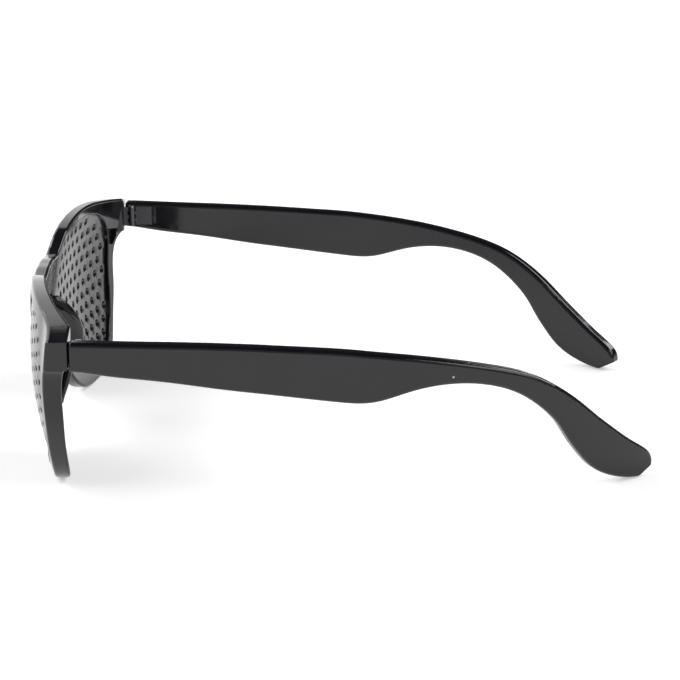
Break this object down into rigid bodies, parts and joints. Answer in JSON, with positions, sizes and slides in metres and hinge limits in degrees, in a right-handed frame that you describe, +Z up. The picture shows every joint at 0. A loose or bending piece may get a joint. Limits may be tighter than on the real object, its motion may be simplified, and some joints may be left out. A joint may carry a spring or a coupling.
{
  "type": "pinhole glasses",
  "caption": "Wraparound spectacles whose dark lenses are plates pierced by staggered rows of small tapered holes, with folding temples on barrel hinges.",
  "frame": {"origin": "middle of the bounding box, on the surface that the open glasses stand on", "axes": "+X to the wearer's left, -Y out through the lenses, +Y back along the temples, +Z up"},
  "size_m": [0.142, 0.157, 0.0485],
  "materials": {
    "frame_plastic": "polished black",
    "lens_plastic": "satin black",
    "hinge_metal": "satin",
    "screw_metal": "bright"
  },
  "bodies": {
    "front": {"front_frame": "frame_plastic", "left_lens": "lens_plastic", "right_lens": "lens_plastic", "left_hinge_front_leaf": "hinge_metal", "right_hinge_front_leaf": "hinge_metal", "left_hinge_screw": "screw_metal", "right_hinge_screw": "screw_metal"},
    "left_temple_body": {"left_temple": "frame_plastic", "left_hinge_temple_leaf": "hinge_metal"},
    "right_temple_body": {"right_temple": "frame_plastic", "right_hinge_temple_leaf": "hinge_metal"}
  },
  "joints": [
    {"name": "left_temple_fold", "type": "hinge", "parent": "front", "child": "left_temple_body", "pos_m": [0.066, -0.0594, 0.0396], "axis": [0, 0, 1], "range_deg": [0, 82]},
    {"name": "right_temple_fold", "type": "hinge", "parent": "front", "child": "right_temple_body", "pos_m": [-0.066, -0.0594, 0.0396], "axis": [0, 0, -1], "range_deg": [0, 66]}
  ]
}
